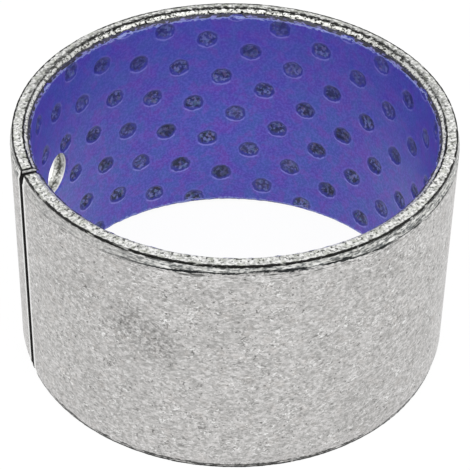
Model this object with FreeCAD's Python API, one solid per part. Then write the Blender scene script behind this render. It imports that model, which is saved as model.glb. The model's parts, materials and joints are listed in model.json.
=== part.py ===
"""King pin bushing: a plain bush wrapped from lined steel strip.

The bush is two layers bonded together. The steel back is a strip rolled into
a ring, open at a straight butt joint. The lining is a thin sheet of acetal on
the inside of that strip, and it is stamped with a lattice of shallow grease
pockets before the strip is rolled. A round grease hole goes through both
layers, and both ends of the wall are chamfered inside and out.

Frame: origin on the bore axis in the plane of the lower end, +Z up the bore.
The butt joint and the grease hole are placed by their azimuth about +Z,
counted from +X towards +Y. Lengths are in millimetres, angles in degrees.
"""
import FreeCAD, Part

import math
import os

from FreeCAD import Vector

# Main sizes of the bush
BORE_DIAMETER = 50.0
WALL_THICKNESS = 2.5
LENGTH = 32.0
LINING_THICKNESS = 0.35

# Chamfers, the same at both ends
INNER_CHAMFER_ACROSS = 0.8
INNER_CHAMFER_ALONG = 0.75
OUTER_CHAMFER_ACROSS = 0.25
OUTER_CHAMFER_ALONG = 1.35

# Butt joint where the ends of the strip meet
JOINT_AZIMUTH = 203.2
JOINT_GAP = 0.8
JOINT_EDGE_BREAK = 0.2

# Grease hole through the wall, placed by the height of its centre
GREASE_HOLE_DIAMETER = 5.8
GREASE_HOLE_AZIMUTH = 158.2
GREASE_HOLE_HEIGHT = 16.5

# Grease pockets: eight-sided, wider at the mouth than at the floor
POCKET_SIDES = 8
POCKET_MOUTH_DIAMETER = 2.4
POCKET_FLOOR_DIAMETER = 1.7
POCKET_DEPTH = 0.25

# Lattice of the pockets on the bore. Rows go round the bush, each row is
# shifted against the one below it, and along a row the pattern climbs a little.
POCKET_PITCH = 15.55
ROW_RISE = 2.06
ROW_SHIFT = 5.84
ROW_CLIMB = 0.07
LATTICE_AZIMUTH = 90.0
LATTICE_HEIGHT = 15.7

# How far a cutting tool runs past the surface that it cuts
OVERRUN = 1.0

BORE_RADIUS = BORE_DIAMETER / 2
OUTER_RADIUS = BORE_RADIUS + WALL_THICKNESS
BOND_RADIUS = BORE_RADIUS + LINING_THICKNESS
MOUTH_RADIUS = POCKET_MOUTH_DIAMETER / 2
AXIS = Vector(0, 0, 1)
ORIGIN = Vector(0, 0, 0)


def at_azimuth(shape, azimuth):
    """Turn a shape made on the +X side round to an azimuth."""
    turned = shape.copy()
    turned.rotate(ORIGIN, AXIS, azimuth)
    return turned


def flat_face(points):
    """Flat face inside a closed outline of straight edges."""
    return Part.Face(Part.makePolygon(points + [points[0]]))


def wall_section():
    """Half section of the whole wall, both layers, with its four chamfers."""
    inner_face = BORE_RADIUS + INNER_CHAMFER_ACROSS
    outer_face = OUTER_RADIUS - OUTER_CHAMFER_ACROSS
    outline = [
        (BORE_RADIUS, INNER_CHAMFER_ALONG),
        (inner_face, 0),
        (outer_face, 0),
        (OUTER_RADIUS, OUTER_CHAMFER_ALONG),
        (OUTER_RADIUS, LENGTH - OUTER_CHAMFER_ALONG),
        (outer_face, LENGTH),
        (inner_face, LENGTH),
        (BORE_RADIUS, LENGTH - INNER_CHAMFER_ALONG),
    ]
    return flat_face([Vector(radius, 0, height) for radius, height in outline])


def joint_cutter():
    """Slot of the butt joint, flared at the outside where its edges are broken."""
    half = JOINT_GAP / 2
    inside = BORE_RADIUS - OVERRUN
    break_start = OUTER_RADIUS - JOINT_EDGE_BREAK
    outside = OUTER_RADIUS + OVERRUN
    flare = half + JOINT_EDGE_BREAK + OVERRUN
    outline = [
        (inside, half),
        (break_start, half),
        (outside, flare),
        (outside, -flare),
        (break_start, -half),
        (inside, -half),
    ]
    slot = flat_face([Vector(across, along, -OVERRUN) for across, along in outline])
    return at_azimuth(slot.extrude(AXIS * (LENGTH + 2 * OVERRUN)), JOINT_AZIMUTH)


def grease_hole_cutter():
    """Round drill along the hole's axis, through the wall on one side only."""
    start = Vector(BORE_RADIUS - OVERRUN, 0, GREASE_HOLE_HEIGHT)
    reach = WALL_THICKNESS + 2 * OVERRUN
    drill = Part.makeCylinder(GREASE_HOLE_DIAMETER / 2, reach, start, Vector(1, 0, 0))
    return at_azimuth(drill, GREASE_HOLE_AZIMUTH)


def pocket_outline(radius, distance):
    """Outline of a pocket, square to +X at a distance from the axis."""
    corners = []
    for index in range(POCKET_SIDES):
        angle = 2 * math.pi * (index + 0.5) / POCKET_SIDES
        corners.append(Vector(distance, radius * math.cos(angle), radius * math.sin(angle)))
    return Part.makePolygon(corners + [corners[0]])


def pocket_punch():
    """Tapered punch that stamps one pocket, on the +X side at height zero."""
    floor_radius = POCKET_FLOOR_DIAMETER / 2
    taper = (MOUTH_RADIUS - floor_radius) / POCKET_DEPTH
    shoulder = pocket_outline(MOUTH_RADIUS + taper * OVERRUN, BORE_RADIUS - OVERRUN)
    tip = pocket_outline(floor_radius, BORE_RADIUS + POCKET_DEPTH)
    return Part.makeLoft([shoulder, tip], True, True)


def pocket_places():
    """Azimuth and height of each pocket that breaks into the straight bore."""
    per_degree = math.radians(BORE_RADIUS)
    lowest = INNER_CHAMFER_ALONG - MOUTH_RADIUS
    highest = LENGTH - INNER_CHAMFER_ALONG + MOUTH_RADIUS
    turn = 360 * per_degree
    beside_joint = JOINT_GAP / 2 + MOUTH_RADIUS
    start = (JOINT_AZIMUTH - LATTICE_AZIMUTH) * per_degree
    places = []
    for row in range(-int(LENGTH / ROW_RISE) - 1, int(LENGTH / ROW_RISE) + 2):
        first = math.ceil((start - turn - row * ROW_SHIFT) / POCKET_PITCH)
        last = math.floor((start - row * ROW_SHIFT) / POCKET_PITCH)
        for column in range(first, last + 1):
            along = row * ROW_SHIFT + column * POCKET_PITCH
            height = LATTICE_HEIGHT + row * ROW_RISE + column * ROW_CLIMB
            clear_of_joint = start - turn + beside_joint < along < start - beside_joint
            if clear_of_joint and lowest < height < highest:
                places.append((LATTICE_AZIMUTH + along / per_degree, height))
    return places


def pocket_cutters():
    """One punch at each place of the lattice, as a single compound."""
    punch = pocket_punch()
    punches = []
    for azimuth, height in pocket_places():
        placed = at_azimuth(punch, azimuth)
        placed.translate(AXIS * height)
        punches.append(placed)
    return Part.makeCompound(punches)


def bond_core():
    """Solid core up to the surface where the lining is bonded to the steel."""
    return Part.makeCylinder(BOND_RADIUS, LENGTH + 2 * OVERRUN, Vector(0, 0, -OVERRUN))


def whole_wall():
    """Both layers in one ring, opened at the butt joint and at the grease hole."""
    ring = wall_section().revolve(ORIGIN, AXIS, 360)
    return ring.cut(joint_cutter()).cut(grease_hole_cutter())


def steel_back(wall):
    """Outer layer: the rolled steel strip."""
    return wall.cut(bond_core())


def acetal_lining(wall):
    """Inner layer: the acetal sheet with its lattice of grease pockets."""
    return wall.common(bond_core()).cut(pocket_cutters())


def main():
    """Build both layers and write one file for each."""
    wall = whole_wall()
    pieces = {
        "steel_back": steel_back(wall),
        "acetal_lining": acetal_lining(wall),
    }
    os.makedirs("parts", exist_ok=True)
    for name, shape in pieces.items():
        print(name, "solids", len(shape.Solids), "volume in mm3", round(shape.Volume, 1))
        shape.exportStep(f"parts/{name}.step")


main()
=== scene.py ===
"""King pin bushing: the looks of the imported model.

A wrapped plain bush stands on its lower end. The tinned steel back is rolled
into a ring that stays open at a butt joint, and the acetal lining inside it is
stamped with a lattice of grease pockets while it is still flat. Both are
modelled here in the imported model's frame: metres, the origin on the bore axis
in the plane of the lower end, and +Z up the bore. The finishes count in
millimetres, and their patterns have real sizes.
"""
import json
import logging
import math
from collections.abc import Callable, Iterable, Iterator, Mapping, Sequence
from contextlib import contextmanager
from dataclasses import dataclass
from enum import Enum
from functools import partial

import bmesh
import bpy
from mathutils import Matrix, Vector


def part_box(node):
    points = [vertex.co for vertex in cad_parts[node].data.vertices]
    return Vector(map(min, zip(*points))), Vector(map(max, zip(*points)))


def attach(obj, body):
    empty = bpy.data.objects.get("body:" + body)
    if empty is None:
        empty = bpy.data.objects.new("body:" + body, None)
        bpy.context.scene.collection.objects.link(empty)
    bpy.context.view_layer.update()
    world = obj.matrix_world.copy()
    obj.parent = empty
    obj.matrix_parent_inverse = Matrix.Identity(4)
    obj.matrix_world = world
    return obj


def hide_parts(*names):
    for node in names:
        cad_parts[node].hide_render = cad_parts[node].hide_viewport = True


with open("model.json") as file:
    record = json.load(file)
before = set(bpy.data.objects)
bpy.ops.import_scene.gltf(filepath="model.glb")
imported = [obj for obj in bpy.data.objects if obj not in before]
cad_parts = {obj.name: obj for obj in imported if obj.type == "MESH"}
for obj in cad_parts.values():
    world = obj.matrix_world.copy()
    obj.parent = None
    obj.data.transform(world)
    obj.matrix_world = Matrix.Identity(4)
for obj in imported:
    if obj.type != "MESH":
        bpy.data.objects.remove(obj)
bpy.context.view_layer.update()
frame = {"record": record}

MM = 0.001
# Points this near to one another are the same corner
CORNER = 0.005 * MM
# Degrees by which two points at the same azimuth may differ
SAME_TURN = 0.01
# How far a drill runs past the surface that it cuts
OVERRUN = 1.5 * MM
# Turn that sets a flat primitive upright, across Y
UPRIGHT = (math.pi / 2, 0, 0)
# Settings of nodes: a soft step, and a mix of two colours
SOFT = {"interpolation_type": "SMOOTHSTEP"}
COLOURS = {"data_type": "RGBA"}
LOG = logging.getLogger("king_pin_bushing")

Point = tuple[float, float, float]
Colour = tuple[float, float, float, float]
Piece = bpy.types.Object
Tree = bpy.types.NodeTree
Node = bpy.types.Node
Source = Node | bpy.types.NodeSocket
FaceTest = Callable[[Vector, Vector], bool]


class Slot(Enum):
    """Names of the material slots in the record."""

    PLATED_STEEL = "plated_steel"
    ACETAL = "acetal"


def use_only(piece: Piece) -> None:
    """Select one object alone and make it the active one.

    Args:
        piece: The object.
    """
    bpy.ops.object.select_all(action="DESELECT")
    piece.select_set(True)
    bpy.context.view_layer.objects.active = piece


@contextmanager
def editing(piece: Piece, selected: bool = False) -> Iterator[None]:
    """Hold a piece in edit mode.

    Args:
        piece: The mesh object to edit.
        selected: Whether all of it is selected at first, or nothing.
    """
    use_only(piece)
    bpy.ops.object.mode_set(mode="EDIT")
    bpy.ops.mesh.select_mode(type="VERT")
    bpy.ops.mesh.select_all(action="SELECT" if selected else "DESELECT")
    yield
    bpy.ops.object.mode_set(mode="OBJECT")


def select_points(piece: Piece, test: Callable[[Vector], bool]) -> None:
    """Select the points of a mesh in edit mode whose place passes a test.

    Args:
        piece: The mesh object in edit mode.
        test: Takes a point's place and says whether it is wanted.
    """
    bpy.ops.mesh.select_mode(type="VERT")
    mesh = bmesh.from_edit_mesh(piece.data)
    for point in mesh.verts:
        point.select = test(point.co)
    mesh.select_flush(True)
    mesh.select_flush(False)
    bmesh.update_edit_mesh(piece.data)


def select_faces(piece: Piece, test: FaceTest) -> None:
    """Select the faces of a mesh in edit mode whose middle and normal pass a test.

    Args:
        piece: The mesh object in edit mode.
        test: Takes a face's middle and its normal, and says whether it is wanted.
    """
    bpy.ops.mesh.select_mode(type="FACE")
    bpy.ops.mesh.select_all(action="DESELECT")
    mesh = bmesh.from_edit_mesh(piece.data)
    for face in mesh.faces:
        face.select_set(test(face.calc_center_median(), face.normal))
    bmesh.update_edit_mesh(piece.data)


def face_outwards() -> None:
    """Recalculate all normals of the mesh in edit mode."""
    bpy.ops.mesh.select_all(action="SELECT")
    bpy.ops.mesh.normals_make_consistent(inside=False)


def apply_place(piece: Piece) -> None:
    """Put an object's place, turn and scale into its mesh."""
    use_only(piece)
    bpy.ops.object.transform_apply(location=True, rotation=True, scale=True)


def new_primitive(operator: Callable[..., set[str]], **sizes: object) -> Piece:
    """Add a mesh primitive with nothing else selected.

    Args:
        operator: The operator that adds it.
        sizes: Its sizes and its place.

    Returns:
        The new object.
    """
    bpy.ops.object.select_all(action="DESELECT")
    operator(**sizes)
    return bpy.context.active_object


def put_in_scene(name: str, data: bpy.types.ID) -> Piece:
    """Make an object from its data, in the scene.

    Args:
        name: Name of the object.
        data: Its mesh, lamp or camera.

    Returns:
        The new object.
    """
    placed = bpy.data.objects.new(name, data)
    bpy.context.scene.collection.objects.link(placed)
    return placed


def copy_of(piece: Piece, place: Point) -> Piece:
    """Copy an object with its own mesh, to a place.

    Args:
        piece: The object to copy.
        place: Where the copy's origin goes.

    Returns:
        The copy.
    """
    copy = put_in_scene(piece.name, piece.data.copy())
    copy.location = place
    return copy


def join(pieces: list[Piece], name: str) -> Piece:
    """Join objects into the first of them and weld their touching points.

    Args:
        pieces: The objects to join.
        name: Name of the joined object and its mesh.

    Returns:
        The joined object, with its place in its mesh.
    """
    use_only(pieces[0])
    for piece in pieces:
        piece.select_set(True)
    bpy.ops.object.join()
    joined = bpy.context.view_layer.objects.active
    joined.name = name
    joined.data.name = name
    apply_place(joined)
    with editing(joined, selected=True):
        bpy.ops.mesh.remove_doubles(threshold=CORNER)
    return joined


def modify(piece: Piece, kind: str, **settings: object) -> None:
    """Give a piece one modifier and apply it.

    Args:
        piece: The piece.
        kind: Type of the modifier.
        settings: Properties of the modifier.
    """
    use_only(piece)
    modifier = piece.modifiers.new(kind, kind)
    for name, value in settings.items():
        setattr(modifier, name, value)
    bpy.ops.object.modifier_apply(modifier=modifier.name)


def cut_with(piece: Piece, tool: Piece, operation: str) -> None:
    """Cut a piece with a closed tool and put the tool away.

    Args:
        piece: The piece to cut.
        tool: The tool's solid, which is removed.
        operation: DIFFERENCE to take the tool out of the piece, INTERSECT to keep what it holds.
    """
    modify(piece, "BOOLEAN", operation=operation, solver="EXACT", object=tool)
    bpy.data.objects.remove(tool)


def from_axis(place: Vector) -> float:
    """Distance of a place from the bore axis."""
    return math.hypot(place.x, place.y)


def azimuth_from(place: Vector, azimuth: float) -> float:
    """Degrees from an azimuth round to a place, from -180 to 180."""
    turn = math.degrees(math.atan2(place.y, place.x)) - azimuth
    return (turn + 180) % 360 - 180


@dataclass(frozen=True)
class Bush:
    """Sizes that both layers share. Lengths are in metres, azimuths in degrees from +X.

    Attributes:
        length: Length of the bush.
        bore_radius: Radius of the lined bore.
        outer_radius: Radius of the outside.
        lining: Thickness of the lining.
        inner_across: Inner chamfer, across the wall.
        inner_along: Inner chamfer, along the bush.
        outer_across: Outer chamfer, across the wall.
        outer_along: Outer chamfer, along the bush.
        joint_azimuth: Azimuth of the butt joint.
        joint_gap: Width of the joint.
        joint_break: Width of the broken edges of the joint.
    """

    length: float
    bore_radius: float
    outer_radius: float
    lining: float = 0.35 * MM
    inner_across: float = 0.8 * MM
    inner_along: float = 0.75 * MM
    outer_across: float = 0.25 * MM
    outer_along: float = 1.35 * MM
    joint_azimuth: float = 203.2
    joint_gap: float = 0.8 * MM
    joint_break: float = 0.2 * MM

    @classmethod
    def from_frame(cls, mounts: dict[str, dict], top: float) -> "Bush":
        """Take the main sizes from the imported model.

        Args:
            mounts: The record's mounts by name.
            top: Height of the upper end.

        Returns:
            The sizes of the bush.
        """
        bore, outside = (mounts[name]["dims"]["r_mm"] * MM for name in ("bore", "outside"))
        return cls(length=top, bore_radius=bore, outer_radius=outside)

    @property
    def bond_radius(self) -> float:
        """Radius of the surface where the lining is bonded to the steel."""
        return self.bore_radius + self.lining

    @property
    def rim_radius(self) -> float:
        """Radius where the end face meets the outer chamfer."""
        return self.outer_radius - self.outer_across

    @property
    def face_radius(self) -> float:
        """Radius where the end face meets the inner chamfer."""
        return self.bore_radius + self.inner_across

    def from_end(self, place: Vector) -> float:
        """Distance of a place from the plane of the nearer end."""
        return min(place.z, self.length - place.z)

    def in_joint(self, place: Vector, beside: float) -> bool:
        """Say whether a place lies in the joint or at most so far beside it.

        Args:
            place: The place.
            beside: How far beside the joint it may lie.

        Returns:
            Whether it lies there.
        """
        turn = math.radians(azimuth_from(place, self.joint_azimuth))
        off_middle = abs(from_axis(place) * math.sin(turn))
        return abs(turn) < math.pi / 2 and off_middle < self.joint_gap / 2 + beside


@dataclass(frozen=True)
class GreaseHole:
    """Round hole through the wall, square to the bore axis.

    Attributes:
        radius: Radius of the hole.
        azimuth: Azimuth of its axis in degrees.
        height: Height of its axis.
        sides: Number of flats that its wall is drawn with.
        near: How near a face is to the wall of the hole if it belongs to it.
    """

    radius: float
    azimuth: float
    height: float
    sides: int = 64
    near: float = 0.03 * MM

    @classmethod
    def from_mount(cls, mount: dict) -> "GreaseHole":
        """Take the hole's size and place from its mount in the record.

        Args:
            mount: The mount.

        Returns:
            The hole.
        """
        across, along, _ = mount["axis"]
        return cls(
            radius=mount["dims"]["r_mm"] * MM,
            azimuth=math.degrees(math.atan2(along, across)),
            height=mount["pos_m"][2],
        )

    def drill(self, piece: Piece, inner: float, outer: float) -> None:
        """Cut the hole through a piece.

        Args:
            piece: The piece to drill.
            inner: Radius about the bore axis at which the drill starts.
            outer: Radius at which it ends.
        """
        turn = math.radians(self.azimuth)
        middle = (inner + outer) / 2
        drill = new_primitive(
            bpy.ops.mesh.primitive_cylinder_add,
            vertices=self.sides,
            radius=self.radius,
            depth=outer - inner,
            location=(middle * math.cos(turn), middle * math.sin(turn), self.height),
            rotation=(0, math.pi / 2, turn),
        )
        cut_with(piece, drill, "DIFFERENCE")

    def holds(self, place: Vector) -> bool:
        """Say whether a place lies on the wall of the hole.

        Args:
            place: The place.

        Returns:
            Whether it lies there.
        """
        turn = math.radians(azimuth_from(place, self.azimuth))
        off_axis = math.hypot(from_axis(place) * math.sin(turn), place.z - self.height)
        return abs(turn) <= math.pi / 2 and abs(off_axis - self.radius) < self.near


def linear(code: str) -> Colour:
    """Turn an sRGB hex colour to the linear values that a shader takes.

    Args:
        code: Six hex digits after a hash sign.

    Returns:
        Linear red, green, blue and an alpha of 1.
    """
    parts = [int(code[start : start + 2], 16) / 255 for start in (1, 3, 5)]
    red, green, blue = (
        part / 12.92 if part <= 0.04045 else ((part + 0.055) / 1.055) ** 2.4 for part in parts
    )
    return (red, green, blue, 1.0)


def empty_tree(owner: bpy.types.Material | bpy.types.World) -> Tree:
    """Turn on the nodes of a material or a world, and clear its tree.

    Args:
        owner: The material or the world.

    Returns:
        Its empty tree.
    """
    owner.use_nodes = True
    owner.node_tree.nodes.clear()
    return owner.node_tree


def add_node(
    tree: Tree,
    kind: str,
    inputs: Mapping[str, object] | Sequence[object] = (),
    **settings: object,
) -> Node:
    """Add one node with its settings and links.

    Args:
        tree: The node tree.
        kind: Type of the node, without the word Shader or Node before it.
        inputs: What goes into its inputs in use, by their names or in their order. Each is
            a value, another node's output, or a node whose first output in use is meant.
        settings: Properties of the node.

    Returns:
        The new node.
    """
    node = tree.nodes.new(f"ShaderNode{kind}")
    for name, value in settings.items():
        setattr(node, name, value)
    sockets = [socket for socket in node.inputs if socket.enabled]
    if isinstance(inputs, Mapping):
        by_name = {socket.name: socket for socket in reversed(sockets)}
        pairs = [(by_name[name], value) for name, value in inputs.items()]
    else:
        pairs = list(zip(sockets, inputs))
    for socket, value in pairs:
        if isinstance(value, Node):
            value = next(output for output in value.outputs if output.enabled)
        if isinstance(value, bpy.types.NodeSocket):
            tree.links.new(value, socket)
        else:
            socket.default_value = value
    return node


def off_from(tree: Tree, value: Source, middle: float) -> Node:
    """Add the nodes of how far a value is from a middle, to either side."""
    off = add_node(tree, "Math", (value, middle), operation="SUBTRACT")
    return add_node(tree, "Math", (off,), operation="ABSOLUTE")


@dataclass(frozen=True)
class Places:
    """Where a point of the bush is, as outputs of nodes, in millimetres.

    Attributes:
        tree: The node tree.
        solid: Place in all three directions.
        strip: Place on the strip: along it, up the bush and through the wall.
        along: Place along the strip, counted round the outside from opposite the joint.
        beside_joint: Distance along the strip from the middle of the joint.
        radius: Distance from the bore axis.
        up: Height above the lower end.
        from_end: Distance from the nearer end of the bush.
    """

    tree: Tree
    solid: Source
    strip: Source
    along: Source
    beside_joint: Source
    radius: Source
    up: Source
    from_end: Source

    @classmethod
    def in_tree(cls, tree: Tree, bush: Bush) -> "Places":
        """Add the nodes that say where a point is.

        Args:
            tree: The node tree.
            bush: Sizes of the bush.

        Returns:
            The places that the patterns of a finish read.
        """
        add = partial(add_node, tree)
        outer = bush.outer_radius / MM
        middle = bush.length / MM / 2
        turned = {
            "Vector": add("TexCoord").outputs["Object"],
            "Rotation": (0, 0, math.radians(180 - bush.joint_azimuth)),
            "Scale": (1 / MM, 1 / MM, 1 / MM),
        }
        solid = add("Mapping", turned)
        parts = add("SeparateXYZ", (solid,)).outputs
        angle = add("Math", (parts["Y"], parts["X"]), operation="ARCTAN2")
        along = add("Math", (angle, outer), operation="MULTIPLY")
        flat = add("CombineXYZ", (parts["X"], parts["Y"]))
        radius = add("VectorMath", (flat,), operation="LENGTH")
        off_middle = off_from(tree, parts["Z"], middle)
        off_start = add("Math", (along,), operation="ABSOLUTE")
        return cls(
            tree=tree,
            solid=solid,
            strip=add("CombineXYZ", (along, parts["Z"], radius)),
            along=along,
            beside_joint=add("Math", (math.pi * outer, off_start), operation="SUBTRACT"),
            radius=radius,
            up=parts["Z"],
            from_end=add("Math", (middle, off_middle), operation="SUBTRACT"),
        )


@dataclass(frozen=True)
class Cloud:
    """Cloudy pattern of one size.

    Attributes:
        size: Size of the clouds in millimetres.
        low: Value of the noise where the pattern begins.
        high: Value of the noise where it is full.
        full: What the pattern reaches there, from 0.
        stretch: How many times longer the clouds are along the strip.
        detail: How many finer layers lie on them.
        swirl: How far the clouds are twisted.
    """

    size: float
    low: float
    high: float
    full: float = 1.0
    stretch: float = 1.0
    detail: float = 3.0
    swirl: float = 0.0

    def lay(self, at: Places, within: Source | None = None) -> Node:
        """Add the nodes of the pattern.

        Args:
            at: Where a point is.
            within: How much of the pattern stays where, or None for all of it.

        Returns:
            The node that holds the pattern.
        """
        add = partial(add_node, at.tree)
        where = at.solid
        if self.stretch != 1:
            where = add("VectorMath", (at.strip, (1 / self.stretch, 1, 1)), operation="MULTIPLY")
        clouds = {"Vector": where, "Scale": 1 / self.size, "Detail": self.detail}
        noise = add("TexNoise", clouds | {"Distortion": self.swirl})
        pattern = add("MapRange", (noise, self.low, self.high, 0.0, self.full), **SOFT)
        if within is None:
            return pattern
        return add("Math", (pattern, within), operation="MULTIPLY")


Tints = tuple[tuple[str, Cloud], ...]


@dataclass(frozen=True)
class Tear:
    """Broken line along an edge. Some are tears that a tool left, some carry painted shade and
    one is a painted highlight.

    Attributes:
        middle: Where the line lies, in millimetres of the distance that it is drawn across.
        half_width: Half of its width in millimetres.
        stray: How far it strays in millimetres.
        pieces: Pattern of the stretches where it is unbroken.
    """

    middle: float
    half_width: float
    stray: float
    pieces: Cloud

    def draw(self, at: Places, across: Source, within: Source | None = None) -> Node:
        """Add the nodes of the line.

        Args:
            at: Where a point is.
            across: The distance that the line is drawn across, in millimetres.
            within: How much of the line stays where, or None for all of it.

        Returns:
            The node that holds the line, from 0 to the pieces' full value.
        """
        add = partial(add_node, at.tree)
        ragged = Cloud(0.32, 0.2, 0.8, full=self.stray, stretch=2.0).lay(at)
        strayed = add("Math", (across, ragged), operation="ADD")
        off = off_from(at.tree, strayed, self.middle + self.stray / 2)
        line = add("MapRange", (off, 1.4 * self.half_width, 0.6 * self.half_width), **SOFT)
        return add("Math", (line, self.pieces.lay(at, within)), operation="MULTIPLY")


def coat(at: Places, colour: Source | Colour, layers: Iterable[tuple[Source, str]]) -> Source:
    """Lay colours over one another.

    Args:
        at: Where a point is.
        colour: The colour below.
        layers: How much of each colour covers it where, from the lowest to the highest.

    Returns:
        The colour that shows.
    """
    for share, code in layers:
        colour = add_node(at.tree, "Mix", (share, colour, linear(code)), **COLOURS)
    return colour


def mottle(
    at: Places, colour: Source | Colour, tints: Tints, within: Source | None = None
) -> Source:
    """Lay colours over one another, each where its clouds are.

    Args:
        at: Where a point is.
        colour: The colour below.
        tints: Colours and their clouds, from the lowest to the highest.
        within: How much of the clouds stays where, or None for all of them.

    Returns:
        The mottled colour.
    """
    return coat(at, colour, [(cloud.lay(at, within), code) for code, cloud in tints])


@dataclass(frozen=True)
class Finish:
    """What every finish of the bush has, and how it becomes a material.

    Attributes:
        bush: Sizes of the bush.
        name: Name of the material.
    """

    bush: Bush
    name: str

    def build(self) -> bpy.types.Material:
        """Make the material and its node tree.

        Returns:
            The material.
        """
        material = bpy.data.materials.new(self.name)
        tree = empty_tree(material)
        inputs = self.surface(Places.in_tree(tree, self.bush))
        add_node(tree, "OutputMaterial", (add_node(tree, "BsdfPrincipled", inputs),))
        return material

    def surface(self, at: Places) -> dict[str, object]:
        """Add the nodes of this finish and return what goes into its shader."""
        raise NotImplementedError


@dataclass(frozen=True)
class TinnedSteel(Finish):
    """Tin-plated low-carbon steel strip, as rolled.

    The plating is a dull even grey with a fine swirling grain, and a few dark pits. The long
    outer chamfers are turned through it, and dirt lies in the torn edges and grooves that the
    tool left. The dark line under the rim of the end face is that dirt together with the painted
    shadow of the rim's burr, and both edges of the joint carry a painted highlight.

    Attributes:
        grain: Fine grain of the plating.
        plating: Colours of the plating over its darkest grey.
        dulled: Where the plating is duller, and by how much.
        swirls: Dark and bright swirls of the grain.
        busy: Where the swirls are strong.
        smudges: Place on the strip and reach of each smudge, in millimetres.
        stain: Colour of the grain within a smudge.
        turned: Colours of the chamfer over its darkest grey.
        deepest: Place along the strip, in millimetres, where the chamfer is shortest.
        runs_out: How far from there it has its full length.
        edge: The least and the most length of the chamfer, in millimetres.
        wander: How far its edge wanders, in millimetres.
        tool_marks: Bright burrs, and dark grooves beside them.
        marks_reach: How far below the end face they have faded, and are at their strongest.
        marked: Places along the strip, in millimetres, between which the tool marks begin.
        edge_tear: Line where the chamfer runs out.
        rim_dirt_and_shade: Dark line under the edge of the end face: dirt, with the painted
            shadow of the rim's burr.
        rim_line_whole: Place along the strip where that line is whole, how far it stays whole on
            both sides and where it has faded, in millimetres.
        foot_tear: Dark broken line round the lower end, just above it.
        joint_highlight: How far the painted highlight on the edges of the joint reaches from its
            middle, in millimetres.
    """

    grain: Cloud = Cloud(0.36, 0.24, 0.76, stretch=1.4, detail=5.0, swirl=0.5)
    plating: Tints = (
        ("#dedcdb", grain),
        ("#a3a2a0", Cloud(5.0, 0.42, 0.68, full=0.15)),
        ("#cdc5bf", Cloud(1.6, 0.55, 0.72, full=0.2, detail=2.0)),
        ("#5c5b59", Cloud(0.5, 0.69, 0.74, full=0.75, detail=1.0)),
    )
    dulled: Cloud = Cloud(5.0, 0.42, 0.68, full=0.1)
    swirls: Tints = (
        ("#7c7b79", Cloud(0.38, 0.54, 0.68, full=0.85, stretch=1.4, detail=2.0, swirl=1.4)),
        ("#fafaf9", Cloud(0.37, 0.55, 0.7, full=0.85, stretch=1.6, detail=2.0, swirl=1.4)),
    )
    busy: Cloud = Cloud(2.6, 0.42, 0.66, detail=2.0)
    smudges: tuple[tuple[Point, float], ...] = (
        ((-66.8, 21.6, 27.5), 4.5),
        ((-63.0, 18.7, 27.5), 5.0),
    )
    stain: Tints = (("#6a6967", Cloud(0.38, 0.38, 0.66, full=0.75, detail=4.0)),)
    turned: Tints = (
        ("#d8d8d4", Cloud(0.3, 0.36, 0.62, stretch=1.8)),
        ("#5c5f60", Cloud(0.35, 0.56, 0.66, full=0.7, stretch=3.0)),
    )
    deepest: float = -54.0
    runs_out: float = 36.0
    edge: tuple[float, float] = (1.12, 2.1)
    wander: Cloud = Cloud(2.0, 0.3, 0.7, full=0.45, stretch=5.0)
    tool_marks: Tints = (
        ("#fafaf8", Cloud(0.21, 0.57, 0.66, full=0.8, stretch=8.0, detail=1.0)),
        ("#3c3d3a", Cloud(0.2, 0.58, 0.66, full=0.8, stretch=9.0, detail=1.0)),
    )
    marks_reach: tuple[float, float] = (2.9, 1.3)
    marked: tuple[float, float] = (-72.0, -61.0)
    edge_tear: Tear = Tear(0.0, 0.13, 0.2, Cloud(0.8, 0.32, 0.48, full=0.96, stretch=4.0))
    rim_dirt_and_shade: Tear = Tear(0.12, 0.2, 0.2, Cloud(0.8, 0.27, 0.4, stretch=3.0))
    rim_line_whole: tuple[float, float, float] = (-61.0, 9.0, 19.0)
    foot_tear: Tear = Tear(0.5, 0.19, 0.3, Cloud(0.8, 0.38, 0.54, full=0.9, stretch=3.5))
    joint_highlight: float = 1.15

    def surface(self, at: Places) -> dict[str, object]:
        """Add the nodes of the tinned outside.

        Args:
            at: Where a point is.

        Returns:
            What goes into the shader's inputs, by their names.
        """
        add = partial(add_node, at.tree)
        colour = mottle(at, linear("#a3a2a0"), self.plating)
        busy = add("MapRange", (self.busy.lay(at), 0.0, 1.0, 0.55, 1.0))
        colour = mottle(at, colour, self.swirls, busy)
        for place, reach in self.smudges:
            distance = add("VectorMath", (at.strip, place), operation="DISTANCE")
            near = add("MapRange", (distance, reach, 0.0), **SOFT)
            colour = mottle(at, colour, self.stain, near)

        # The upper chamfer is shortest at one place and runs out further away from it
        down = add("Math", (self.bush.length / MM, at.up), operation="SUBTRACT")
        away = off_from(at.tree, at.along, self.deepest)
        edge = add("MapRange", (away, 0.0, self.runs_out, *self.edge))
        beyond = add("Math", (down, edge), operation="SUBTRACT")
        beyond = add("Math", (beyond, self.wander.lay(at)), operation="ADD")
        chamfer = add("MapRange", (beyond, 0.15, -0.1), **SOFT)
        marked = add("MapRange", (at.along, *self.marked, 0.3, 1.0), **SOFT)
        chamfer = add("Math", (chamfer, marked), operation="MULTIPLY")
        bare = mottle(at, linear("#787b7b"), self.turned)
        colour = add("Mix", (chamfer, colour, bare), **COLOURS)

        # Tool marks run along the strip on both sides of that edge
        near_edge = add("MapRange", (down, *self.marks_reach), **SOFT)
        near_edge = add("Math", (near_edge, marked), operation="MULTIPLY")
        colour = mottle(at, colour, self.tool_marks, near_edge)
        torn = self.edge_tear.draw(at, beyond, marked)
        # Painted shade with dirt: the dark line under the rim of the end face is partly the
        # shadow of its burr
        whole_at, whole_to, faded_at = self.rim_line_whole
        away = off_from(at.tree, at.along, whole_at)
        whole = add("MapRange", (away, whole_to, faded_at, 1.0, 0.4))
        rim = self.rim_dirt_and_shade.draw(at, down, whole)
        foot = self.foot_tear.draw(at, at.up)
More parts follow.
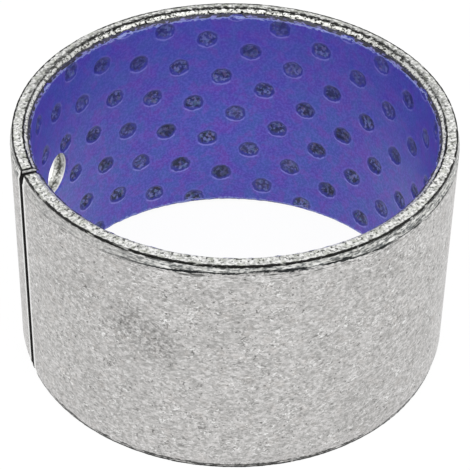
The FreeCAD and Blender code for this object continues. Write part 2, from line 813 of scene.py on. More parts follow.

        # Painted highlight: the plating is drawn bright along both edges of the joint
        ragged = Cloud(0.4, 0.2, 0.8, full=0.35).lay(at)
        beside = add("Math", (at.beside_joint, ragged), operation="ADD")
        bright = add("MapRange", (beside, self.joint_highlight + 0.35, self.joint_highlight, 0.0, 0.9), **SOFT)
        marks = ((torn, "#1c2021"), (rim, "#0e0f0d"), (foot, "#0e0f0d"), (bright, "#f6f6f4"))
        colour = coat(at, colour, marks)

        height = add("Math", (torn, -2.0, self.grain.lay(at)), operation="MULTIPLY_ADD")
        bump = add("Bump", {"Height": height, "Strength": 0.35, "Distance": 0.02 * MM})
        dullness = add("Math", (self.dulled.lay(at), 0.42), operation="ADD")
        return {"Base Color": colour, "Metallic": 1.0, "Roughness": dullness, "Normal": bump}


@dataclass(frozen=True)
class TurnedSteel(Finish):
    """Bare low-carbon steel, faced and chamfered on a lathe.

    The end faces are bright with dark torn spots and a grey-green cast where oil has dried. Their
    edges are drawn by dark broken lines: the one at the outer edge is dirt with the painted
    shadow of the rim's burr, and beside the joint the end face carries painted shade.

    Attributes:
        torn_at: Place along the strip, in millimetres, where the ends are torn the most.
        tearing: How far from there they are torn the least, and the most.
        front: How far from there the line of the inner edge has faded, and where it is whole.
        grain: Pattern of the bright metal on the grey.
        oil: Colour and pattern of the dried oil.
        few_spots: Torn spots where the ends are torn the least.
        many_spots: Torn spots where they are torn the most.
        torn: Bright metal left on the inner chamfer.
        near_edge: Line along the inner chamfer, where the ends are torn the least.
        far_edge: The same line where they are torn the most.
        outer_dirt_and_shade: Dark line along the outer chamfer: dirt, with the painted shadow of
            the rim's burr.
        seam: Line where the lining meets the steel.
        joint_line: How far the painted shade on the edges of the joint reaches from its middle,
            in millimetres.
    """

    torn_at: float = 32.0
    tearing: tuple[float, float] = (46.0, 18.0)
    front: tuple[float, float] = (60.0, 54.0)
    grain: Cloud = Cloud(0.36, 0.32, 0.62, detail=4.0)
    oil: tuple[str, Cloud] = ("#9fa393", Cloud(0.8, 0.48, 0.64, full=0.5))
    few_spots: Cloud = Cloud(0.42, 0.54, 0.63, full=0.85, detail=2.0)
    many_spots: Cloud = Cloud(0.55, 0.47, 0.53, full=0.97, stretch=1.6, detail=2.0)
    torn: Cloud = Cloud(0.36, 0.38, 0.5, detail=4.0)
    near_edge: Tear = Tear(0.04, 0.13, 0.16, Cloud(0.9, 0.28, 0.42))
    far_edge: Tear = Tear(0.3, 0.24, 0.46, Cloud(0.7, 0.3, 0.44))
    outer_dirt_and_shade: Tear = Tear(-0.06, 0.165, 0.2, Cloud(0.7, 0.28, 0.42, full=0.98, stretch=3.0))
    seam: Tear = Tear(0.0, 0.13, 0.12, Cloud(0.6, 0.38, 0.5))
    joint_line: float = 0.74

    def surface(self, at: Places) -> dict[str, object]:
        """Add the nodes of the turned ends.

        Args:
            at: Where a point is.

        Returns:
            What goes into the shader's inputs, by their names.
        """
        add = partial(add_node, at.tree)
        bush = self.bush
        from_rim, from_face, from_bond = (
            add("Math", (at.radius, radius / MM), operation="SUBTRACT")
            for radius in (bush.rim_radius, bush.face_radius, bush.bond_radius)
        )
        away = off_from(at.tree, at.along, self.torn_at)
        worst = add("MapRange", (away, *self.tearing), **SOFT)
        grain = self.grain.lay(at)
        code, oil = self.oil
        few = self.few_spots.lay(at, add("MapRange", (from_rim, -0.2, -0.8, 0.35, 1.0)))
        many = self.many_spots.lay(at, add("MapRange", (from_rim, -0.5, -0.9, 0.25, 1.0)))
        spots = add("Mix", (worst, few, many))
        layers = ((grain, "#f6f6f4"), (oil.lay(at), code), (spots, "#2b2c28"))
        colour = coat(at, linear("#adaeab"), layers)

        # Where the ends are torn the most, the inner chamfer keeps only patches of bright metal
        inside = add("MapRange", (from_face, 0.05, -0.1))
        dark = add("Mix", (worst, linear("#8f908b"), linear("#1e1f1c")), **COLOURS)
        bright = add("Mix", (worst, linear("#ececea"), linear("#bebeba")), **COLOURS)
        torn = add("Mix", (self.torn.lay(at), dark, bright), **COLOURS)
        colour = add("Mix", (inside, colour, torn), **COLOURS)

        beside_front = add("MapRange", (away, *self.front, 0.2, 1.0))
        near = self.near_edge.draw(at, from_face, beside_front)
        inner = add("Mix", (worst, near, self.far_edge.draw(at, from_face)))
        # Painted shade with dirt: the dark line at the outer edge of the end face
        outer = self.outer_dirt_and_shade.draw(at, from_rim)
        seam = self.seam.draw(at, from_bond, add("MapRange", (worst, 0.0, 1.0, 0.45, 1.0)))
        # Painted shade: the end face is drawn dark along both edges of the joint
        ragged = Cloud(0.4, 0.2, 0.8, full=0.25).lay(at)
        beside = add("Math", (at.beside_joint, ragged), operation="ADD")
        joint = add("MapRange", (beside, self.joint_line + 0.2, self.joint_line), **SOFT)
        colour = coat(at, colour, [(line, "#0d0e0c") for line in (inner, outer, seam, joint)])

        height = add("Math", (grain, spots), operation="SUBTRACT")
        bump = add("Bump", {"Height": height, "Strength": 0.5, "Distance": 0.03 * MM})
        return {"Base Color": colour, "Metallic": 1.0, "Roughness": 0.42, "Normal": bump}


@dataclass(frozen=True)
class PunchedSteel(Finish):
    """Bare low-carbon steel in the punched grease hole.

    The wall is bright towards the outside, dark halfway through, grey again towards the lining
    and bright on its edge there: painted highlights and painted shade on the hole's wall.

    Attributes:
        lit_beyond: Radius in millimetres beyond which the wall is bright, a painted highlight.
        scores: Pattern of the bright metal on the grey.
        shade_band: Painted shade: a dark band halfway through the wall.
    """

    lit_beyond: float = 26.95
    scores: Cloud = Cloud(0.32, 0.3, 0.7, detail=4.0)
    shade_band: Tear = Tear(26.2, 0.19, 0.4, Cloud(0.8, 0.24, 0.5, full=0.85))

    def surface(self, at: Places) -> dict[str, object]:
        """Add the nodes of the punched wall.

        Args:
            at: Where a point is.

        Returns:
            What goes into the shader's inputs, by their names.
        """
        add = partial(add_node, at.tree)
        bond = self.bush.bond_radius / MM
        scores = self.scores.lay(at)
        # Painted highlights towards the outside and on the edge by the lining, painted shade
        # halfway through
        broken = add("MapRange", (at.radius, self.lit_beyond - 0.1, self.lit_beyond + 0.1))
        edge = add("MapRange", (at.radius, bond + 0.32, bond + 0.12, 0.0, 0.75))
        bright = add("Math", (broken, edge), operation="MAXIMUM")
        dark = self.shade_band.draw(at, at.radius)
        layers = ((scores, "#e4e4e0"), (dark, "#33342d"), (bright, "#fbfbf9"))
        colour = coat(at, linear("#8f9089"), layers)
        bump = add("Bump", {"Height": scores, "Strength": 0.4, "Distance": 0.03 * MM})
        return {"Base Color": colour, "Metallic": 0.8, "Roughness": 0.5, "Normal": bump}


@dataclass(frozen=True)
class JointShadeSteel(Finish):
    """Sheared ends of the steel strip, painted black as the shade inside the joint, but for a
    strip near the end faces that is a painted highlight.

    Attributes:
        lit_strip: Where the painted highlight begins and ends, in millimetres from the nearer
            end.
        grain: Pattern of the bright metal in the painted highlight.
    """

    lit_strip: tuple[float, float] = (0.2, 0.5)
    grain: Cloud = Cloud(0.5, 0.35, 0.65)

    def surface(self, at: Places) -> dict[str, object]:
        """Add the nodes of the joint's faces.

        Args:
            at: Where a point is.

        Returns:
            What goes into the shader's inputs, by their names.
        """
        add = partial(add_node, at.tree)
        # Painted shade fills the joint, with a painted highlight near the end faces
        start, end = self.lit_strip
        rim = self.bush.rim_radius / MM
        joint_shade = add("MapRange", (at.from_end, start + 0.04, start - 0.04))
        for steps in ((at.from_end, end - 0.08, end + 0.08), (at.radius, rim - 0.25, rim - 0.1)):
            joint_shade = add("Math", (joint_shade, add("MapRange", steps)), operation="MAXIMUM")
        layers = ((self.grain.lay(at), "#ffffff"), (joint_shade, "#060606"))
        colour = coat(at, linear("#b9bab6"), layers)
        return {"Base Color": colour, "Metallic": 0.3, "Roughness": 0.7}


@dataclass(frozen=True)
class StampedAcetal(Finish):
    """Acetal copolymer with a blue-violet pigment, rolled on as a sheet.

    It has a satin gloss and drifts between blue and purple. The stamped pockets have a raised lip
    with a painted highlight, strongest on its lower side, painted shade on their walls and a
    rough dirty floor, and painted shade darkens the bore towards its upper end.

    Attributes:
        hollow: Attribute that is 0 on the sheet, a half at a pocket's edge and 1 on its floor.
        lower_lip: Attribute that is 1 on the lower lip of a pocket, where the painted highlight
            is strongest.
        pigment: Colours of the sheet over its blue.
        ragged: How ragged the edges inside a pocket are, as a part of its hollow value.
        edge_highlight: Painted highlight: a light line near each end of the bore, just inside its
            chamfer.
        dirt: Colours of the dirt on the floor of a pocket over its darkest blue.
        shade: Colour of the painted shade that darkens the bore towards its upper end, and the
            heights between which it deepens.
    """

    hollow: str = "hollow"
    lower_lip: str = "lower_lip"
    pigment: Tints = (
        ("#5944b8", Cloud(4.2, 0.38, 0.62, detail=2.0)),
        ("#4160b6", Cloud(1.9, 0.44, 0.62, full=0.7)),
        ("#7842b8", Cloud(1.6, 0.48, 0.64, full=0.55)),
        ("#7c7ae2", Cloud(0.3, 0.42, 0.62, full=0.36)),
    )
    ragged: Cloud = Cloud(0.7, 0.3, 0.7, full=0.24, detail=2.0)
    edge_highlight: Tear = Tear(0.86, 0.13, 0.4, Cloud(0.9, 0.3, 0.5, full=0.9, stretch=1.6))
    dirt: Tints = (
        ("#7e86c0", Cloud(0.5, 0.44, 0.56, detail=2.0)),
        ("#7a646c", Cloud(0.62, 0.52, 0.62, full=0.5, detail=1.0)),
        ("#4a727a", Cloud(0.57, 0.52, 0.62, full=0.55, detail=1.0)),
        ("#0a0e26", Cloud(0.54, 0.49, 0.57, full=0.8, detail=1.0)),
        ("#6a68b0", Cloud(7.0, 0.5, 0.6, full=0.25, detail=1.0)),
        ("#141a36", Cloud(6.0, 0.52, 0.62, full=0.5, detail=1.0)),
    )
    shade: tuple[str, float, float] = ("#2e2c90", 10.0, 33.0)

    def surface(self, at: Places) -> dict[str, object]:
        """Add the nodes of the lining.

        Args:
            at: Where a point is.

        Returns:
            What goes into the shader's inputs, by their names.
        """
        add = partial(add_node, at.tree)
        depth, lower = (
            add("Attribute", attribute_name=name).outputs["Fac"]
            for name in (self.hollow, self.lower_lip)
        )
        ragged = add("Math", (self.ragged.lay(at), self.ragged.full / 2), operation="SUBTRACT")
        at_depth = add("Math", (depth, ragged), operation="ADD")
        # Painted highlight on the raised lip, stronger on its lower side, and painted shade on
        # the pocket's wall
        lip = add("MapRange", (at_depth, 0.0, 0.3, 0.0, 0.22), **SOFT)
        lit = add("MapRange", (lower, 0.2, 1.0, 0.0, 0.55), **SOFT)
        wall = add("MapRange", (at_depth, 0.42, 0.62), **SOFT)
        bottom = add("MapRange", (at_depth, 0.7, 0.96), **SOFT)
        colour = mottle(at, linear("#4853b8"), self.pigment)
        colour = coat(at, colour, ((lip, "#8886e0"), (lit, "#a9a8ec"), (wall, "#3b3e97")))
        floor = mottle(at, linear("#3e4586"), self.dirt)
        colour = add("Mix", (bottom, colour, floor), **COLOURS)
        # Painted shade: the bore is darkened towards its upper end
        code, low, high = self.shade
        film = add("MapRange", (at.up, low, high, 0.0, 0.46), **SOFT)
        # Painted highlight: a light line near each end of the bore
        edge_glint = self.edge_highlight.draw(at, at.from_end)
        colour = coat(at, colour, ((film, code), (edge_glint, "#9aa4dc")))

        dullness = add("MapRange", (depth, 0.6, 1.0, 0.38, 0.6))
        grain = Cloud(0.3, 0.35, 0.65, full=0.4).lay(at)
        grit = Cloud(0.45, 0.38, 0.62).lay(at)
        height = add("Math", (grit, depth, grain), operation="MULTIPLY_ADD")
        bump = add("Bump", {"Height": height, "Strength": 0.5, "Distance": 0.03 * MM})
        return {"Base Color": colour, "Roughness": dullness, "IOR": 1.48, "Normal": bump}


@dataclass(frozen=True)
class CutAcetal(Finish):
    """Acetal where the chamfering tool cut it: smeared dark at the bond, with painted highlights
    in light stretches towards the bore.

    Attributes:
        pale: Colour and pattern of the painted highlights.
    """

    pale: Tints = (("#8886cc", Cloud(0.45, 0.48, 0.6, full=0.7, stretch=1.8)),)

    def surface(self, at: Places) -> dict[str, object]:
        """Add the nodes of the cut edge.

        Args:
            at: Where a point is.

        Returns:
            What goes into the shader's inputs, by their names.
        """
        # Painted highlight: light stretches towards the bore
        middle = (self.bush.bore_radius + self.bush.bond_radius) / 2 / MM
        steps = (at.radius, middle + 0.05, middle - 0.07, 0.1, 1.0)
        inside = add_node(at.tree, "MapRange", steps)
        colour = mottle(at, linear("#0b0a26"), self.pale, inside)
        return {"Base Color": colour, "Roughness": 0.45, "IOR": 1.48}


@dataclass(frozen=True)
class Layer:
    """One layer of the bush, which is modelled and then dressed.

    Attributes:
        bush: Sizes of the bush.
        hole: The grease hole.
        smooth: Angle in degrees up to which an edge is shaded smooth.
    """

    bush: Bush
    hole: GreaseHole
    smooth: float = 32.0

    def build(self) -> Piece:
        """Model the whole layer and return it."""
        raise NotImplementedError

    def surfaces(self) -> Sequence[tuple[Finish, FaceTest]]:
        """Say which faces each finish covers, where a later one replaces an earlier one."""
        raise NotImplementedError

    def dress(self, piece: Piece) -> None:
        """Give each surface of the layer its finish.

        Args:
            piece: The modelled layer.
        """
        piece.data.materials.clear()
        with editing(piece):
            for index, (finish, test) in enumerate(self.surfaces()):
                piece.data.materials.append(finish.build())
                select_faces(piece, test)
                piece.active_material_index = index
                bpy.ops.object.material_slot_assign()
        use_only(piece)
        bpy.ops.object.shade_smooth_by_angle(angle=math.radians(self.smooth))


@dataclass(frozen=True)
class SteelBack(Layer):
    """Tinned steel strip, rolled into a ring and chamfered at both ends.

    Attributes:
        steps: Number of steps that the strip is rolled in.
        torn_depth: How deep the tool tears the turned ends.
        torn_size: Size of the torn spots.
        break_reach: How far beside the joint its edges are found.
        joint_shade_reach: How far beside the joint its faces with the painted shade are found.
        upright: The most that such a face's normal may rise or fall.
    """

    steps: int = 720
    torn_depth: float = 0.09 * MM
    torn_size: float = 0.45 * MM
    break_reach: float = 0.05 * MM
    joint_shade_reach: float = 0.07 * MM
    upright: float = 0.5

    def build(self) -> Piece:
        """Model the whole steel back and return it.

        Returns:
            The steel back.
        """
        piece = self.cut_section()
        self.divide_section(piece)
        self.roll(piece)
        self.break_joint_edges(piece)
        self.tear_ends(piece)
        self.hole.drill(piece, self.bush.bond_radius - OVERRUN, self.bush.outer_radius + OVERRUN)
        return piece

    def cut_section(self) -> Piece:
        """Cut the section of the strip out of a plate, with its four chamfers.

        Returns:
            The flat section, on the +X side of the bore axis.
        """
        bush = self.bush
        middle = ((bush.bond_radius + bush.outer_radius) / 2, 0, bush.length / 2)
        plane = bpy.ops.mesh.primitive_plane_add
        piece = new_primitive(plane, size=1.0, location=middle, rotation=UPRIGHT)
        piece.name = "rolled_steel_back"
        piece.data.name = piece.name
        piece.scale = (bush.outer_radius - bush.bond_radius, bush.length, 1)
        apply_place(piece)
        slopes = (
            (bush.rim_radius, bush.outer_along, bush.outer_across),
            (bush.face_radius, -bush.inner_along, bush.inner_across),
        )
        with editing(piece):
            for end, way in ((0.0, -1), (bush.length, 1)):
                for radius, across, along in slopes:
                    bpy.ops.mesh.select_all(action="SELECT")
                    bpy.ops.mesh.bisect(
                        plane_co=(radius, 0, end),
                        plane_no=Vector((across, 0, way * along)).normalized(),
                        clear_outer=True,
                        threshold=0.0001 * MM,
                    )
        return piece

    def divide_section(self, piece: Piece) -> None:
        """Keep the outline of the section and divide it, finely at the ends.

        Args:
            piece: The section.
        """
        bush = self.bush
        # The outer and the inner chamfers end within this of the end faces
        outer, inner = 1.4 * MM, 0.5 * MM
        stretches = (
            (lambda at: at.x > bush.outer_radius - CORNER, 14),
            (lambda at: at.x < bush.bond_radius + CORNER, 2),
            (lambda at: at.x > bush.rim_radius - CORNER and bush.from_end(at) < outer, 5),
            (lambda at: bush.from_end(at) < CORNER, 6),
            (lambda at: at.x < bush.face_radius + CORNER and bush.from_end(at) < inner, 3),
        )
        with editing(piece, selected=True):
            bpy.ops.mesh.delete(type="ONLY_FACE")
            for test, parts in stretches:
                select_points(piece, test)
                bpy.ops.mesh.subdivide(number_cuts=parts - 1)

    def roll(self, piece: Piece) -> None:
        """Roll the section round the bore axis from one side of the joint to the other.

        Args:
            piece: The section.
        """
        bush = self.bush
        half_gap = math.degrees(bush.joint_gap / (bush.bond_radius + bush.outer_radius))
        turn = 360 - 2 * half_gap
        with editing(piece, selected=True):
            bpy.ops.mesh.spin(
                steps=self.steps, angle=math.radians(turn), center=(0, 0, 0), axis=(0, 0, 1)
            )
            for azimuth in (0.0, -turn):
                select_points(piece, lambda at: abs(azimuth_from(at, azimuth)) < SAME_TURN)
                bpy.ops.mesh.edge_face_add()
                bpy.ops.mesh.quads_convert_to_tris()
            face_outwards()
        piece.rotation_euler.z = math.radians(bush.joint_azimuth - half_gap)
        apply_place(piece)

    def break_joint_edges(self, piece: Piece) -> None:
        """Break the outside edges of the joint.

        Args:
            piece: The steel back.
        """
        bush = self.bush
        outside = bush.rim_radius - 2 * CORNER
        with editing(piece):
            select_points(
                piece,
                lambda at: from_axis(at) > outside and bush.in_joint(at, self.break_reach),
            )
            bpy.ops.mesh.bevel(
                offset=bush.joint_break, offset_type="OFFSET", segments=2, affect="EDGES"
            )

    def tear_ends(self, piece: Piece) -> None:
        """Tear the turned ends a little, only ever into the metal.

        Args:
            piece: The steel back.
        """
        bush = self.bush
        group = piece.vertex_groups.new(name="turned")
        with editing(piece):
            select_points(
                piece,
                lambda at: bush.from_end(at) < bush.outer_along - CORNER
                and from_axis(at) > bush.bond_radius + CORNER,
            )
            bpy.ops.object.vertex_group_assign()
        torn = bpy.data.textures.new("torn by the tool", "CLOUDS")
        torn.noise_scale = self.torn_size
        torn.noise_depth = 2
        modify(
            piece,
            "DISPLACE",
            texture=torn,
            texture_coords="LOCAL",
            vertex_group=group.name,
            strength=self.torn_depth,
            mid_level=1.0,
        )
        piece.vertex_groups.clear()

    def surfaces(self) -> Sequence[tuple[Finish, FaceTest]]:
        """Say which faces of the steel each finish covers.

        Returns:
            The finishes with the tests of their faces.
        """
        bush = self.bush
        return (
            (TinnedSteel(bush, "tin-plated steel"), lambda middle, normal: True),
            (
                TurnedSteel(bush, "turned steel"),
                lambda middle, normal: bush.from_end(middle) < bush.inner_along
                and bush.bond_radius + CORNER < from_axis(middle) < bush.rim_radius,
            ),
            (
                PunchedSteel(bush, "punched steel"),
                lambda middle, normal: self.hole.holds(middle),
            ),
            (
                # The joint's faces take the painted shade
                JointShadeSteel(bush, "steel with painted joint shade"),
                lambda middle, normal: bush.in_joint(middle, self.joint_shade_reach)
                or bush.in_joint(middle, bush.joint_break)
                and from_axis(middle) > bush.rim_radius
                and abs(normal.z) < self.upright,
            ),
        )


@dataclass(frozen=True)
class AcetalLining(Layer):
    """Acetal sheet inside the steel, stamped flat and then rolled.

    While it is flat, x runs along the strip from opposite the joint, z up the
    bush and y out of the sheet towards the bore axis.

    Attributes:
        lattice_azimuth: Azimuth of one pocket of the lattice in degrees.
        lattice_height: Height of that pocket.
        step: From one pocket to the next in the row above, along and up.
        other_step: From one pocket to its other neighbour above.
        mouth_radius: Radius of a pocket at the surface.
        rings: Radius, height and hollow value of each ring of a pocket, inwards.
        lip: Number of the ring that is the crest of the lip.
        widening: How much wider a pocket is along the strip than across it.
        sides: Number of sides that a pocket is drawn with.
        wear: How far the points of a pocket are worn out of place.
        margin: How far the cells reach past the strip, to be cut off.
        parts: Number of flats that the chamfered edges are rolled in.
        raggedness: How far the chamfered edges stray.
        slanted: The least that the normal of a cut edge rises or falls.
    """

    smooth: float = 40.0
    lattice_azimuth: float = 90.0
    lattice_height: float = 15.7 * MM
    step: tuple[float, float] = (5.84 * MM, 2.06 * MM)
    other_step: tuple[float, float] = (-3.87 * MM, 4.05 * MM)
    mouth_radius: float = 1.2 * MM
    rings: tuple[tuple[float, float, float], ...] = (
        (1.6 * MM, 0.0, 0.0),
        (1.32 * MM, 0.035 * MM, 0.4),
        (1.11 * MM, -0.07 * MM, 0.75),
        (0.74 * MM, -0.24 * MM, 1.0),
    )
    lip: int = 1
    widening: float = 1.14
    sides: int = 16
    wear: float = 0.04 * MM
    margin: float = 4.5 * MM
    parts: int = 216
    raggedness: float = 0.1 * MM
    slanted: float = 0.6

    @property
    def flat_length(self) -> float:
        """Length of the flat sheet along its bore side."""
        return 2 * math.pi * self.bush.bore_radius - self.bush.joint_gap

    def build(self) -> Piece:
        """Model the whole lining and return it.

        Returns:
            The lining.
        """
        plain = self.plain_cell()
        piece = self.lay_sheet(plain, self.stamped_cell(plain))
        self.wear_pockets(piece)
        cut_with(piece, self.strip_blank(), "INTERSECT")
        self.roll(piece)
        outer = self.bush.bond_radius + self.bush.lining
        self.hole.drill(piece, self.bush.bore_radius - OVERRUN, outer)
        return piece

    def in_lattice(
        self, steps: float, other_steps: float, start: tuple[float, float] = (0.0, 0.0)
    ) -> tuple[float, float]:
        """Place along and up the strip after so many steps each way from a start.

        Args:
            steps: Number of steps to the next pocket in the row above.
            other_steps: Number of steps to the other neighbour above.
            start: Where they start, along and up.

        Returns:
            How far along and how far up they lead.
        """
        x, z = (
            first + steps * one + other_steps * other
            for first, one, other in zip(start, self.step, self.other_step)
        )
        return x, z

    def plain_cell(self) -> Piece:
        """Make one cell of the sheet without a pocket: a slanted plate of small quads.

        Returns:
            The cell.
        """
        cell = new_primitive(bpy.ops.mesh.primitive_plane_add, size=2 * MM, rotation=UPRIGHT)
        cell.name = "plain cell"
        apply_place(cell)
        with editing(cell):
            for across in (-1, 1):
                for up in (-1, 1):
                    corner = Vector((across * MM, 0, up * MM))
                    x, z = self.in_lattice(across / 2, up / 2)
                    select_points(cell, lambda at: (at - corner).length < CORNER)
                    bpy.ops.transform.translate(value=Vector((x, 0, z)) - corner)
            bpy.ops.mesh.select_all(action="SELECT")
            bpy.ops.mesh.subdivide(number_cuts=self.sides // 4 - 1)
        return cell

    def stamped_cell(self, plain: Piece) -> Piece:
        """Make one cell with a pocket in its middle.

        Args:
            plain: Cell without a pocket, whose edge the new cell repeats.

        Returns:
            The cell, with the attributes that its finish reads.
        """
        cell = copy_of(plain, (0, 0, 0))
        with editing(cell, selected=True):
            bpy.ops.mesh.region_to_loop()
            bpy.ops.mesh.select_mode(type="VERT")
            bpy.ops.mesh.select_all(action="INVERT")
            bpy.ops.mesh.delete(type="VERT")
        mouth, _, _ = self.rings[0]
        crest, _, _ = self.rings[self.lip]
        rim = new_primitive(
            bpy.ops.mesh.primitive_circle_add,
            vertices=self.sides,
            radius=mouth,
            fill_type="NOTHING",
            rotation=UPRIGHT,
        )
        cell = join([cell, rim], "stamped cell")
        use_only(cell)
        for name in (StampedAcetal.lower_lip, StampedAcetal.hollow):
            bpy.ops.geometry.attribute_add(name=name, domain="POINT", data_type="FLOAT")
        with editing(cell, selected=True):
            bpy.ops.mesh.bridge_edge_loops()
            select_points(cell, lambda at: math.hypot(at.x, at.z) < mouth + CORNER)
            bpy.ops.mesh.edge_face_add()
            for (wide, high, _), (narrow, low, value) in zip(self.rings, self.rings[1:]):
                bpy.ops.mesh.extrude_region_move(
                    TRANSFORM_OT_translate={"value": (0, low - high, 0)}
                )
                bpy.ops.transform.resize(
                    value=(narrow / wide, 1, narrow / wide), center_override=(0, 0, 0)
                )
                bpy.ops.mesh.attribute_set(value_float=value)
            # The lower lip is marked for the painted highlight that the finish lays there
            cell.data.attributes.active = cell.data.attributes[StampedAcetal.lower_lip]
            select_points(
                cell,
                lambda at: abs(math.hypot(at.x, at.z) - crest) < CORNER and at.z < -crest / 2,
            )
            bpy.ops.mesh.attribute_set(value_float=1.0)
            select_points(cell, lambda at: math.hypot(at.x, at.z) < mouth + CORNER)
            bpy.ops.transform.resize(value=(self.widening, 1, 1), center_override=(0, 0, 0))
            face_outwards()
        return cell

    def lay_sheet(self, plain: Piece, stamped: Piece) -> Piece:
        """Lay the cells side by side over more than the whole strip, and close its back.

        Args:
            plain: Cell without a pocket.
            stamped: Cell with a pocket.

        Returns:
            The sheet, larger than the strip all round.
        """
        bush = self.bush
        opposite_joint = bush.joint_azimuth - 180
        along = math.radians(self.lattice_azimuth - opposite_joint) * bush.bore_radius
        start = (along, self.lattice_height)
        half = self.flat_length / 2
        low = bush.inner_along - self.mouth_radius
        high = bush.length - low
        # More steps each way than the strip has room for
        reach = range(-40, 41)
        front = []
        back = []
        pockets = 0
        for x, z in (self.in_lattice(row, column, start) for row in reach for column in reach):
            if abs(x) > half + self.margin or not -self.margin < z < bush.length + self.margin:
                continue
            stamp = abs(x) < half - self.mouth_radius and low < z < high
            pockets += stamp
            front.append(copy_of(stamped if stamp else plain, (x, 0, z)))
            back.append(copy_of(plain, (x, -bush.lining, z)))
        bpy.data.objects.remove(plain)
        bpy.data.objects.remove(stamped)
        front_sheet = join(front, "stamped_lining")
        back_sheet = join(back, "back of the lining")
        with editing(front_sheet):
            face_outwards()
            bpy.ops.mesh.region_to_loop()
            bpy.ops.mesh.extrude_edges_move(
                TRANSFORM_OT_translate={"value": (0, -bush.lining, 0)}
            )
        sheet = join([front_sheet, back_sheet], "stamped_lining")
        with editing(sheet):
            face_outwards()
        LOG.info("sheet of %d cells, %d of them stamped", len(front), pockets)
        return sheet

    def wear_pockets(self, piece: Piece) -> None:
        """Make the stamped pockets a little uneven, each in its own way.

        Args:
            piece: The lining.
        """
        edge = 0.02 * MM
        with editing(piece):
            select_points(piece, lambda at: at.y > edge or edge - self.bush.lining < at.y < -edge)
            bpy.ops.transform.vertex_random(offset=self.wear, uniform=0.4, normal=0.0, seed=11)

    def strip_blank(self) -> Piece:
        """Make the outline of the strip as a block: square at the joint, slanted at the ends.

        Its long edges are divided, so that what it cuts can be rolled.

        Returns:
            A block that is deeper than the sheet on both sides.
        """
        bush = self.bush
        deep = 3 * bush.lining
        lean = deep * bush.inner_along / bush.inner_across
        straight = bush.length - 2 * bush.inner_along
        behind = straight + 2 * lean
        before = straight - 2 * lean
        blank = new_primitive(
            bpy.ops.mesh.primitive_grid_add,
            x_subdivisions=self.parts,
            y_subdivisions=1,
            size=1.0,
            location=(0, -deep, bush.length / 2),
            rotation=UPRIGHT,
        )
        blank.scale = (self.flat_length, behind, 1)
        apply_place(blank)
        square = self.flat_length / 2 - CORNER
        with editing(blank, selected=True):
            bpy.ops.mesh.extrude_region_move(TRANSFORM_OT_translate={"value": (0, 2 * deep, 0)})
            bpy.ops.transform.resize(
                value=(1, 1, before / behind), center_override=(0, 0, bush.length / 2)
            )
            face_outwards()
            select_points(blank, lambda at: abs(at.x) < square)
            bpy.ops.transform.vertex_random(
                offset=self.raggedness, uniform=0.3, normal=0.0, seed=5
            )
        return blank

    def roll(self, piece: Piece) -> None:
        """Roll the strip up round the bore axis, pockets inwards.

        Args:
            piece: The lining.
        """
        angle = self.flat_length / self.bush.bore_radius
        modify(piece, "SIMPLE_DEFORM", deform_method="BEND", deform_axis="Z", angle=angle)
        piece.location = (0, -self.bush.bore_radius, 0)
        apply_place(piece)
        piece.rotation_euler.z = math.radians(self.bush.joint_azimuth - 90)
        apply_place(piece)

    def surfaces(self) -> Sequence[tuple[Finish, FaceTest]]:
        """Say which faces are the sheet's own and which are its cut edges.

        Returns:
            The finishes with the tests of their faces.
        """
        bush = self.bush
        return (
            (StampedAcetal(bush, "stamped acetal"), lambda middle, normal: True),
            (
                CutAcetal(bush, "cut acetal"),
                lambda middle, normal: abs(normal.z) > self.slanted
                and bush.from_end(middle) < bush.inner_along,
            ),
        )


@dataclass(frozen=True)
class Lamp:
    """Square soft lamp, aimed at the bush.

    Attributes:
        name: Name of the lamp.
        place: Where it hangs.
        size: Width of its square face.
        power: Its power in watts.
    """

    name: str
    place: Point
    size: float = 0.5
    power: float = 2.7

    def hang(self) -> None:
        """Hang the lamp in the scene."""
        data = bpy.data.lights.new(self.name, "AREA")
        data.shape = "SQUARE"
        data.size = self.size
        data.energy = self.power
        lamp = put_in_scene(self.name, data)
        lamp.location = self.place
        lamp.rotation_euler = Vector(self.place).to_track_quat("Z", "Y").to_euler()


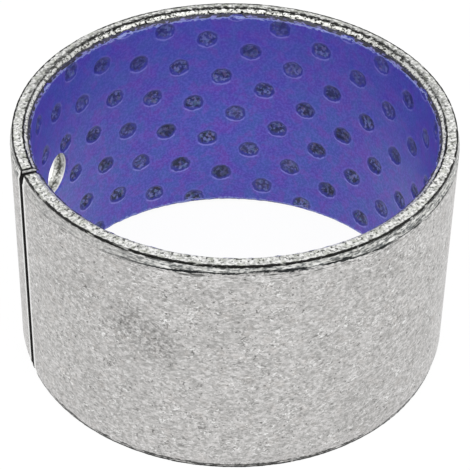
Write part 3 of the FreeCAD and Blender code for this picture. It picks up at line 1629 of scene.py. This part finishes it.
@dataclass(frozen=True)
class Studio:
    """Pale floor, plain soft light and the camera at the photograph's angle.

    Attributes:
        lens: Focal length in millimetres.
        sensor: Width of the film in millimetres.
        distance: From the camera to the point that it is aimed at.
        aim: That point.
        elevation: Height of the camera's line of sight in degrees.
        roll: Turn of the camera about its line of sight in degrees.
        floor_width: Width of the floor.
        glow: Strength of the floor's white as the camera sees it, without the light on it.
        sky: Strength of the white world on the object.
        lamps: The lamps.
    """

    lens: float = 150.6
    sensor: float = 36.0
    distance: float = 251.6 * MM
    aim: Point = (0.243 * MM, 0.0, 14.36 * MM)
    elevation: float = 39.08
    roll: float = 1.102
    floor_width: float = 6.0
    glow: float = 0.945
    sky: float = 0.75
    lamps: tuple[Lamp, ...] = (
        Lamp("left", (-0.4, -0.4, 0.7)),
        Lamp("right", (0.45, -0.35, 0.65)),
    )

    def set_camera(self) -> None:
        """Place the camera and make it the scene's own."""
        data = bpy.data.cameras.new("camera")
        data.lens = self.lens
        data.sensor_width = self.sensor
        data.clip_start = 10 * MM
        camera = put_in_scene("camera", data)
        tilt = math.radians(self.elevation)
        back = Vector((0, -math.cos(tilt), math.sin(tilt)))
        turn = Matrix.Rotation(math.pi / 2 - tilt, 4, "X")
        turn @= Matrix.Rotation(math.radians(self.roll), 4, "Z")
        camera.matrix_world = Matrix.Translation(Vector(self.aim) + back * self.distance) @ turn
        bpy.context.scene.camera = camera

    @staticmethod
    def seen_directly(tree: Tree) -> Node:
        """Add the nodes that are 1 for what the camera sees, also in metal or through glass.

        Args:
            tree: The node tree.

        Returns:
            The node that holds it.
        """
        rays = add_node(tree, "LightPath").outputs
        seen = rays["Is Camera Ray"]
        for name in ("Is Glossy Ray", "Is Transmission Ray"):
            seen = add_node(tree, "Math", (seen, rays[name]), operation="MAXIMUM")
        return seen

    def lay_floor(self) -> None:
        """Lay a wide white floor that shows as white and keeps a soft shadow."""
        floor = new_primitive(bpy.ops.mesh.primitive_plane_add, size=self.floor_width)
        floor.name = "floor"
        material = bpy.data.materials.new("white paper")
        tree = empty_tree(material)
        add = partial(add_node, tree)
        lit = add("BsdfDiffuse", {"Color": linear("#e6e6e4")})
        faint = add("BsdfDiffuse", {"Color": linear("#474747")})
        glow = add("Emission", {"Color": linear("#ffffff"), "Strength": self.glow})
        shown = add("AddShader", (faint, glow))
        surface = add("MixShader", (self.seen_directly(tree), lit, shown))
        add("OutputMaterial", (surface,))
        floor.data.materials.append(material)

    def set_light(self) -> None:
        """Light the bush evenly from all round, with two large soft lamps."""
        world = bpy.data.worlds.new("studio")
        bpy.context.scene.world = world
        tree = empty_tree(world)
        add = partial(add_node, tree)
        strength = add("MapRange", (self.seen_directly(tree), 0.0, 1.0, self.sky, 1.0))
        sky = add("Background", {"Color": linear("#ffffff"), "Strength": strength})
        add("OutputWorld", (sky,))
        for lamp in self.lamps:
            lamp.hang()


def main() -> None:
    """Build and dress both layers of the bush, then the studio round them."""
    logging.basicConfig(level=logging.INFO, format="%(message)s")
    bpy.context.scene.view_settings.view_transform = "Standard"
    studio = Studio()
    studio.set_camera()
    mounts = {mount["name"]: mount for mount in frame["record"]["mounts"]}
    _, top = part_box("steel_back")
    bush = Bush.from_frame(mounts, top.z)
    hole = GreaseHole.from_mount(mounts["grease_hole"])
    for layer, node, slot in (
        (SteelBack(bush, hole), "steel_back", Slot.PLATED_STEEL),
        (AcetalLining(bush, hole), "acetal_lining", Slot.ACETAL),
    ):
        piece = layer.build()
        layer.dress(piece)
        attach(piece, "root")
        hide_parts(node)
        piece.data.calc_loop_triangles()
        LOG.info("%s: %d triangles", piece.name, len(piece.data.loop_triangles))
    studio.lay_floor()
    studio.set_light()


if __name__ == "__main__":
    main()
